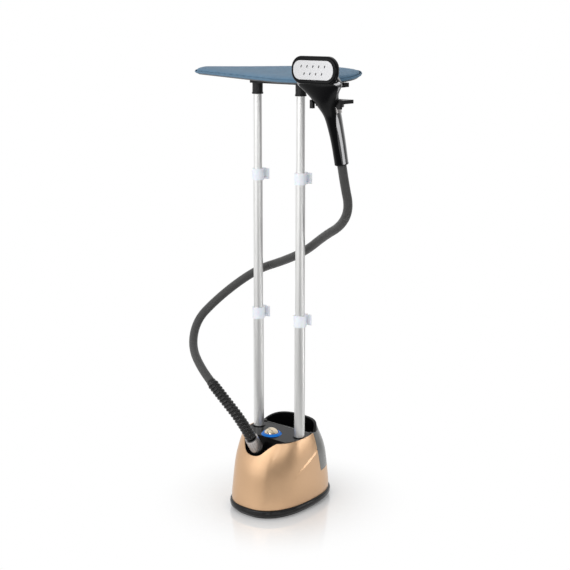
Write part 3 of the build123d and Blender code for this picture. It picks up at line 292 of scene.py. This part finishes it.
def guard_sleeve(points):
    """Ribbed sleeve with a bore, along the first part of the hose."""
    outside = [(GUARD_START, GUARD_ROOT_R), (GUARD_START + GUARD_COLLAR / 2, GUARD_ROOT_R)]
    first_rib = GUARD_START + GUARD_COLLAR
    for rib in range(GUARD_RIBS):
        for step in range(GUARD_RIB_STEPS):
            share = step / GUARD_RIB_STEPS
            rise = max(0, sin(pi * min(share / GUARD_RIB_SHARE, 1))) ** GUARD_RIB_ROUND
            radius = GUARD_ROOT_R + (GUARD_RIB_R - GUARD_ROOT_R) * rise
            outside.append((first_rib + GUARD_PITCH * (rib + share), radius))
    end = first_rib + GUARD_PITCH * GUARD_RIBS
    tip = end + GUARD_TAIL
    outside.append((end, GUARD_ROOT_R))
    outside.append((tip - GUARD_LIP, GUARD_ROOT_R))
    outside.append((tip, GUARD_ROOT_R - GUARD_LIP_DROP))
    centres = points_along(points, [distance for distance, _ in outside])
    frames = path_frames(centres)
    rows = [ring(at, radius, HOSE_SIDES) for at, (_, radius) in zip(frames, outside)]
    inner = frames[::-GUARD_INNER_SKIP]
    if (inner[-1][0] - frames[0][0]).length > 0:
        inner.append(frames[0])
    rows += [ring(at, GUARD_BORE_R, HOSE_SIDES) for at in inner]
    vertices = [v for row in rows for v in row]
    return mesh_object("hose_guard_sleeve", vertices, wall_faces(len(rows), HOSE_SIDES, closed=True))


def make_hose():
    """Three stretches of hose that bend between the bodies they join, with the guard on the first."""
    points = hose_line()
    frames = path_frames(points)
    lengths = [0]
    for a, b in zip(points, points[1:]):
        lengths.append(lengths[-1] + (b - a).length)
    first, second = [cut_index(points, run) for run in HOSE_CUTS]
    spans = [
        ("lower", 0, first, "base", "mid_stage"),
        ("middle", first, second, "mid_stage", "upper_stage"),
        ("upper", second, len(points) - 1, "upper_stage", "handset"),
    ]
    made = []
    for part, start, end, near, far in spans:
        tube = hose_tube(f"steam_hose_{part}", frames[start:end + 1], lengths[start:end + 1])
        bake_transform(tube)
        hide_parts(f"hose_{part}")
        made.append(tube)
    guard = guard_sleeve(points)
    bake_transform(guard)
    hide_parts("hose_bend_guard")
    return made, guard


# Board cover

def arc_points(centre, radius, inset, start, end):
    """Points on an arc drawn in by inset, as many as on the arc itself."""
    steps = max(2, round(radius * abs(end - start) / OUTLINE_STEP))
    turns = [start + (end - start) * k / steps for k in range(steps + 1)]
    return [centre + Vector((cos(turn), sin(turn))) * (radius - inset) for turn in turns]


def board_outline(inset):
    """Points round the board's plan, drawn in by inset: nose, flank, belly, tail and back."""
    nose = Vector((NOSE_X, 0))
    belly = Vector((BELLY_X, BELLY_HALF - BELLY_R))
    tail = Vector((BELLY_X + sqrt((BELLY_R - TAIL_R) ** 2 - belly.y ** 2), 0))
    span = belly - nose
    flank_turn = atan2(span.y, span.x) + acos((NOSE_R - BELLY_R) / span.length)
    tail_turn = atan2(-belly.y, tail.x - BELLY_X)
    front = arc_points(nose, NOSE_R, inset, pi, flank_turn)
    middle = arc_points(belly, BELLY_R, inset, flank_turn, tail_turn)
    rear = arc_points(tail, TAIL_R, inset, tail_turn, 0)
    flank_steps = round(sqrt(span.length_squared - (BELLY_R - NOSE_R) ** 2) / OUTLINE_STEP)
    flank = [front[-1].lerp(middle[0], k / flank_steps) for k in range(1, flank_steps)]
    upper = front + flank + middle + rear[1:]
    lower = [Vector((p.x, -p.y)) for p in reversed(upper[1:-1])]
    return upper + lower


def placed_on_board(obj):
    """Turns a piece drawn flat about the hinge to the board's tilt."""
    obj.data.transform(Matrix.Translation(HINGE) @ Matrix.Rotation(radians(BOARD_TILT), 4, "X"))


def layered(name, layers, closed):
    """Closed form through outlines at several heights: capped, or a ring where closed."""
    rows = [[(p.x, p.y, z) for p in board_outline(inset)] for z, inset in layers]
    sides = len(rows[0])
    vertices = [v for row in rows for v in row]
    faces = wall_faces(len(rows), sides, closed=closed)
    if not closed:
        faces.append(tuple(reversed(range(sides))))
        faces.append(tuple((len(rows) - 1) * sides + k for k in range(sides)))
    return mesh_object(name, vertices, faces)


def apply_modifiers(obj):
    depsgraph = bpy.context.evaluated_depsgraph_get()
    mesh = bpy.data.meshes.new_from_object(obj.evaluated_get(depsgraph), depsgraph=depsgraph)
    obj.modifiers.clear()
    old = obj.data
    obj.data = mesh
    bpy.data.meshes.remove(old)


def remesh(obj, voxel):
    modifier = obj.modifiers.new("remesh", "REMESH")
    modifier.mode = "VOXEL"
    modifier.voxel_size = voxel
    modifier.use_smooth_shade = True
    apply_modifiers(obj)


def blow_up(obj):
    """Swells the pad by cloth pressure, with each point's travel capped."""
    before = [v.co.copy() for v in obj.data.vertices]
    cloth = obj.modifiers.new("cloth", "CLOTH")
    cloth.settings.use_pressure = True
    cloth.settings.uniform_pressure_force = PAD_PRESSURE
    cloth.settings.effector_weights.gravity = 0
    cloth.point_cache.frame_end = PAD_FRAMES
    for number in range(1, PAD_FRAMES + 1):
        scene.frame_set(number)
    apply_modifiers(obj)
    scene.frame_set(1)
    for vertex, start in zip(obj.data.vertices, before):
        travel = vertex.co - start
        if travel.length > PAD_REACH:
            vertex.co = start + travel.normalized() * PAD_REACH
        vertex.co.z = max(vertex.co.z, TRAY_TOP + PAD_LIFT)


def hem_ring():
    """Thin hem that wraps the tray's edge, with small puckers towards its lower border."""
    inside = [(z, inset + HEM_T) for z, inset in reversed(HEM_LAYERS)]
    hem = layered("cover_hem", HEM_LAYERS + inside, closed=True)
    sides = len(board_outline(0))
    fall = HEM_LAYERS[0][0] - HEM_LAYERS[-1][0]
    for index, vertex in enumerate(hem.data.vertices):
        turn = tau * (index % sides) / sides
        drop = (HEM_LAYERS[0][0] - vertex.co.z) / fall
        slow = sin(PUCKER_WAVES // PUCKER_SLOWER * turn + 1)
        wave = sin(PUCKER_WAVES * turn) + PUCKER_SLOW_SHARE * slow
        out = Vector((vertex.co.x, vertex.co.y, 0)).normalized()
        vertex.co += out * (wave * PUCKER_DEPTH * drop)
    return hem


def join_into(target, other):
    """Adds another object's mesh to the target's, as one piece."""
    both = bmesh.new()
    both.from_mesh(target.data)
    both.from_mesh(other.data)
    both.to_mesh(target.data)
    both.free()
    target.data.polygons.foreach_set("use_smooth", [True] * len(target.data.polygons))
    old = other.data
    bpy.data.objects.remove(other)
    bpy.data.meshes.remove(old)


def make_cover():
    pad = layered("board_cover_padded", [(TRAY_TOP + z, inset) for z, inset in PAD_LAYERS], closed=False)
    remesh(pad, PAD_VOXEL)
    blow_up(pad)
    pad.modifiers.new("soft", "SUBSURF").levels = 1
    apply_modifiers(pad)
    join_into(pad, hem_ring())
    placed_on_board(pad)
    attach(pad, "board")
    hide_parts("board_cover")
    return pad


# Materials

class Look:
    """A principled material with small helpers for its detail."""

    def __init__(self, name, colour, roughness, metallic=0.0, **values):
        self.material = bpy.data.materials.new(name)
        self.material.use_nodes = True
        self.tree = self.material.node_tree
        self.shader = self.tree.nodes["Principled BSDF"]
        self.shader.inputs["Base Color"].default_value = (*colour, 1)
        self.shader.inputs["Roughness"].default_value = roughness
        self.shader.inputs["Metallic"].default_value = metallic
        for key, value in values.items():
            self.shader.inputs[key.replace("_", " ")].default_value = value
        self.colour = colour
        self.roughness = roughness

    def add(self, kind, **settings):
        node = self.tree.nodes.new(kind)
        for key, value in settings.items():
            setattr(node, key, value)
        return node

    def link(self, output, target):
        self.tree.links.new(output, target)

    def coordinates(self, stretch, uv=None):
        if uv:
            source = self.add("ShaderNodeUVMap", uv_map=uv).outputs["UV"]
        else:
            source = self.add("ShaderNodeTexCoord").outputs["Object"]
        mapping = self.add("ShaderNodeMapping")
        mapping.inputs["Scale"].default_value = stretch
        self.link(source, mapping.inputs["Vector"])
        return mapping

    def noise(self, scale, detail=3.0, stretch=(1, 1, 1)):
        texture = self.add("ShaderNodeTexNoise")
        texture.inputs["Scale"].default_value = scale
        texture.inputs["Detail"].default_value = detail
        self.link(self.coordinates(stretch).outputs["Vector"], texture.inputs["Vector"])
        return texture.outputs["Fac"]

    def wave(self, scale, turn, uv=None, direction="X"):
        texture = self.add("ShaderNodeTexWave", bands_direction=direction)
        texture.inputs["Scale"].default_value = scale
        mapping = self.coordinates((1, 1, 1), uv)
        mapping.inputs["Rotation"].default_value = turn
        self.link(mapping.outputs["Vector"], texture.inputs["Vector"])
        return texture.outputs["Fac"]

    def shade(self, fac, dark, light):
        """Colour between the base colour times dark and times light."""
        ramp = self.add("ShaderNodeMix", data_type="RGBA")
        ramp.inputs["A"].default_value = (*[c * dark for c in self.colour], 1)
        ramp.inputs["B"].default_value = (*[min(1, c * light) for c in self.colour], 1)
        self.link(fac, ramp.inputs["Factor"])
        self.link(ramp.outputs["Result"], self.shader.inputs["Base Color"])

    def polish(self, fac, spread):
        """Roughness that varies by spread about its set value."""
        span = self.add("ShaderNodeMapRange")
        span.inputs["To Min"].default_value = max(0, self.roughness - spread)
        span.inputs["To Max"].default_value = self.roughness + spread
        self.link(fac, span.inputs["Value"])
        self.link(span.outputs["Result"], self.shader.inputs["Roughness"])

    def bump(self, fac, distance, strength=1.0):
        bump = self.add("ShaderNodeBump")
        bump.inputs["Strength"].default_value = strength
        bump.inputs["Distance"].default_value = distance
        self.link(fac, bump.inputs["Height"])
        self.link(bump.outputs["Normal"], self.shader.inputs["Normal"])

    def blend_of(self, a, b, kind):
        node = self.add("ShaderNodeMath", operation=kind)
        self.link(a, node.inputs[0])
        self.link(b, node.inputs[1])
        return node.outputs[0]


def painted_gold():
    look = Look("gold_satin", (0.6, 0.385, 0.225), 0.36, 0.85, Coat_Weight=0.2, Coat_Roughness=0.15)
    flakes = look.noise(2600, 1)
    look.shade(flakes, 0.88, 1.14)
    look.polish(look.noise(60), 0.05)
    return look.material


def black_gloss():
    look = Look("black_gloss", (0.004, 0.004, 0.0045), 0.1, Specular_IOR_Level=0.1)
    haze = look.noise(45, 5)
    look.shade(haze, 0.7, 1.6)
    look.polish(look.noise(180, 4), 0.04)
    return look.material


def foot_gloss():
    look = Look("foot_gloss", (0.002, 0.002, 0.0025), 0.12, Specular_IOR_Level=0.3)
    look.shade(look.noise(60, 4), 0.7, 1.5)
    look.polish(look.noise(220, 3), 0.05)
    return look.material


def black_satin():
    look = Look("black_satin", (0.008, 0.008, 0.0085), 0.32, Specular_IOR_Level=0.25)
    look.shade(look.noise(70, 4), 0.75, 1.35)
    grain = look.noise(2200, 2)
    look.polish(grain, 0.07)
    look.bump(grain, 0.00008)
    return look.material


def handle_black():
    look = Look("handset_black", (0.0025, 0.0025, 0.003), 0.24, Specular_IOR_Level=0.15)
    look.shade(look.noise(60, 4), 0.8, 1.3)
    look.polish(look.noise(240, 3), 0.05)
    return look.material


def gunmetal():
    look = Look("gunmetal", (0.3, 0.3, 0.305), 0.14, 1.0)
    look.shade(look.noise(2400, 1), 0.95, 1.05)
    look.polish(look.noise(80, 3), 0.04)
    return look.material


def silver_satin():
    look = Look("silver_satin", (0.5, 0.48, 0.47), 0.3, 0.85)
    look.shade(look.noise(90, 4), 0.85, 1.1)
    look.polish(look.noise(700, 3), 0.08)
    return look.material


def pale_plastic():
    look = Look("pale_plastic", (0.8, 0.83, 0.88), 0.32, Subsurface_Weight=0.15, Subsurface_Scale=0.004)
    look.shade(look.noise(120, 3), 0.95, 1.05)
    grain = look.noise(1800, 2)
    look.polish(grain, 0.06)
    look.bump(grain, 0.00005)
    return look.material


def tube_aluminium():
    look = Look("tube_aluminium", (0.8, 0.8, 0.79), 0.42, 0.9)
    drawn = look.noise(700, 2, stretch=(1, 1, 0.02))
    look.shade(drawn, 0.93, 1.04)
    look.polish(drawn, 0.05)
    return look.material


def tank_smoke():
    look = Look("tank_smoke", (0.2, 0.2, 0.19), 0.22, Transmission_Weight=0.35, IOR=1.49)
    look.shade(look.noise(50, 4), 0.85, 1.15)
    look.polish(look.noise(300, 3), 0.05)
    return look.material


def light_ring():
    blue = (0.001, 0.12, 0.46)
    look = Look(
        "light_ring", blue, 0.25, Emission_Color=(*blue, 1), Emission_Strength=0.3, Specular_IOR_Level=0.2)
    look.shade(look.noise(150, 3), 0.8, 1.2)
    look.polish(look.noise(400, 2), 0.04)
    return look.material


def knob_metal():
    look = Look("knob_metal", (0.72, 0.62, 0.47), 0.14, 1.0)
    look.shade(look.noise(90, 3), 0.92, 1.06)
    look.polish(look.noise(900, 2), 0.04)
    return look.material


def bright_steel():
    look = Look("bright_steel", (0.7, 0.7, 0.71), 0.3, 0.9)
    brushed = look.noise(900, 2, stretch=(0.03, 1, 1))
    look.shade(brushed, 0.9, 1.08)
    look.polish(brushed, 0.08)
    return look.material


def plate_pearl():
    look = Look("plate_pearl", (0.56, 0.56, 0.57), 0.3, 0.7)
    pearl = look.noise(1500, 2)
    look.shade(pearl, 0.94, 1.05)
    look.polish(pearl, 0.05)
    return look.material


def cast_alloy():
    look = Look("cast_alloy", (0.5, 0.5, 0.5), 0.5, 0.8)
    cast = look.noise(500, 4)
    look.shade(cast, 0.8, 1.1)
    look.bump(cast, 0.0003)
    return look.material


def dark_rubber():
    look = Look("dark_rubber", (0.016, 0.016, 0.016), 0.5)
    grain = look.noise(900, 4)
    look.shade(grain, 0.75, 1.3)
    look.polish(grain, 0.08)
    look.bump(grain, 0.0001)
    return look.material


def guard_rubber():
    look = Look("guard_rubber", (0.003, 0.003, 0.003), 0.12, Specular_IOR_Level=0.4)
    grain = look.noise(500, 4)
    look.shade(grain, 0.8, 1.3)
    look.polish(grain, 0.07)
    return look.material


def hose_weave():
    look = Look("hose_weave", (0.036, 0.036, 0.035), 0.46, Sheen_Weight=0.2, Sheen_Roughness=0.4)
    left = look.wave(BRAID_SCALE, (0, 0, radians(BRAID_TURN)), uv="weave")
    right = look.wave(BRAID_SCALE, (0, 0, radians(-BRAID_TURN)), uv="weave")
    braid = look.blend_of(left, right, "MAXIMUM")
    look.shade(braid, 0.55, 1.35)
    look.polish(look.noise(300, 3), 0.06)
    look.bump(braid, 0.0004, 0.7)
    return look.material


def cover_fabric():
    look = Look("cover_fabric", (0.1, 0.205, 0.315), 0.8, Sheen_Weight=0.15, Sheen_Roughness=0.5)
    warp = look.wave(CLOTH_SCALE, (0, 0, 0), direction="X")
    weft = look.wave(CLOTH_SCALE, (radians(-BOARD_TILT), 0, 0), direction="Y")
    weave = look.blend_of(warp, weft, "MAXIMUM")
    cloud = look.noise(35, 4)
    tone = look.blend_of(weave, cloud, "MULTIPLY")
    look.shade(tone, 0.72, 1.3)
    look.polish(look.noise(260, 3), 0.06)
    look.bump(weave, 0.0003, 0.6)
    return look.material


def assign(obj, material):
    obj.data.materials.clear()
    obj.data.materials.append(material)


SLOT_LOOKS = {
    "gold_shell": painted_gold,
    "black_gloss": black_gloss,
    "black_matte": black_satin,
    "gunmetal": gunmetal,
    "silver_plastic": silver_satin,
    "white_plastic": pale_plastic,
    "tube_silver": tube_aluminium,
    "tank_smoke": tank_smoke,
    "light_ring": light_ring,
    "knob_metal": knob_metal,
    "board_fabric": cover_fabric,
    "hose_dark": hose_weave,
    "rubber_dark": dark_rubber,
    "boiler_alloy": cast_alloy,
    "steel": bright_steel,
}


def dress_nodes():
    made = {slot: build() for slot, build in SLOT_LOOKS.items()}
    for row in frame["record"]["subparts"]:
        assign(nodes[row["node"]], made[row["material_slot"]])
    assign(nodes["handset_front_shell"], handle_black())
    assign(nodes["steam_plate"], plate_pearl())
    assign(nodes["base_pan"], foot_gloss())
    return made


# Studio

def linked(tree, kind, **sources):
    """New node with its inputs linked to sockets or set to plain values."""
    node = tree.nodes.new(kind)
    for key, value in sources.items():
        target = node.inputs[int(key[1:])] if key[1:].isdigit() else node.inputs[key.replace("_", " ")]
        if isinstance(value, bpy.types.NodeSocket):
            tree.links.new(value, target)
        else:
            target.default_value = value
    return node


def smooth_range(tree, value, start, end, low, high):
    """Value eased from low at start to high at end."""
    span = linked(
        tree, "ShaderNodeMapRange", Value=value, From_Min=start, From_Max=end, To_Min=low, To_Max=high)
    span.interpolation_type = "SMOOTHSTEP"
    return span.outputs["Result"]


def larger(tree, a, b):
    node = linked(tree, "ShaderNodeMath", i0=a, i1=b)
    node.operation = "MAXIMUM"
    return node.outputs[0]


def make_world():
    """White backdrop behind and over the object, dimmer towards the room in front of it."""
    world = bpy.data.worlds.new("studio")
    world.use_nodes = True
    scene.world = world
    tree = world.node_tree
    tree.nodes.clear()
    way = linked(tree, "ShaderNodeTexCoord").outputs["Generated"]
    facing = linked(tree, "ShaderNodeVectorMath", i0=way, i1=BACKDROP_WAY)
    facing.operation = "DOT_PRODUCT"
    room = smooth_range(tree, facing.outputs["Value"], *BACKDROP_EDGE, ROOM_LIGHT, 1)
    soft = smooth_range(tree, facing.outputs["Value"], *BACKDROP_EDGE, *DIFFUSE_LIGHT)
    path = linked(tree, "ShaderNodeLightPath")
    seen = larger(tree, path.outputs["Is Camera Ray"], path.outputs["Is Transmission Ray"])
    level = linked(tree, "ShaderNodeMix", Factor=path.outputs["Is Glossy Ray"], A=soft, B=room)
    strength = larger(tree, seen, level.outputs["Result"])
    sky = linked(tree, "ShaderNodeBackground", Color=(1, 1, 1, 1), Strength=strength)
    linked(tree, "ShaderNodeOutputWorld", Surface=sky.outputs["Background"])


def make_floor():
    """Patch of glossy white floor that fades into the white backdrop away from the object."""
    size = FLOOR_HALF
    corners = [(-size, -size, 0), (size, -size, 0), (size, size, 0), (-size, size, 0)]
    floor = mesh_object("floor", corners, [(0, 1, 2, 3)])
    floor.location.z = -FLOOR_GAP
    material = bpy.data.materials.new("floor_white")
    material.use_nodes = True
    tree = material.node_tree
    shader = tree.nodes["Principled BSDF"]
    shader.inputs["Base Color"].default_value = FLOOR_COLOUR
    shader.inputs["Roughness"].default_value = FLOOR_ROUGHNESS
    shader.inputs["IOR"].default_value = FLOOR_IOR
    glow = linked(tree, "ShaderNodeEmission", Color=(1, 1, 1, 1), Strength=1)
    place = linked(tree, "ShaderNodeTexCoord").outputs["Object"]
    reach = linked(tree, "ShaderNodeVectorMath", i0=place)
    reach.operation = "LENGTH"
    fade = smooth_range(tree, reach.outputs["Value"], *FLOOR_FADE, FLOOR_GLOW, 1)
    path = linked(tree, "ShaderNodeLightPath")
    seen = larger(tree, path.outputs["Is Camera Ray"], path.outputs["Is Glossy Ray"])
    seen = larger(tree, seen, path.outputs["Is Transmission Ray"])
    share = linked(tree, "ShaderNodeMath", i0=fade, i1=seen)
    share.operation = "MULTIPLY"
    lit = shader.outputs["BSDF"]
    mix = linked(tree, "ShaderNodeMixShader", Fac=share.outputs[0], i1=lit, i2=glow.outputs["Emission"])
    tree.links.new(mix.outputs["Shader"], tree.nodes["Material Output"].inputs["Surface"])
    floor.data.materials.append(material)


def area_light(name, at, aim, size, power):
    data = bpy.data.lights.new(name, "AREA")
    data.shape = "RECTANGLE"
    data.size, data.size_y = size
    data.energy = power
    lamp = bpy.data.objects.new(name, data)
    lamp.location = at
    lamp.rotation_euler = (Vector(aim) - Vector(at)).to_track_quat("-Z", "Y").to_euler()
    lamp.visible_camera = False
    scene.collection.objects.link(lamp)


def make_lights():
    for lamp in LAMPS:
        area_light(*lamp)


scene.view_settings.view_transform = "Standard"
make_camera()
hoses, guard = make_hose()
cover = make_cover()
looks = dress_nodes()
for hose in hoses:
    assign(hose, looks["hose_dark"])
assign(guard, guard_rubber())
assign(cover, looks["board_fabric"])
make_world()
make_floor()
make_lights()
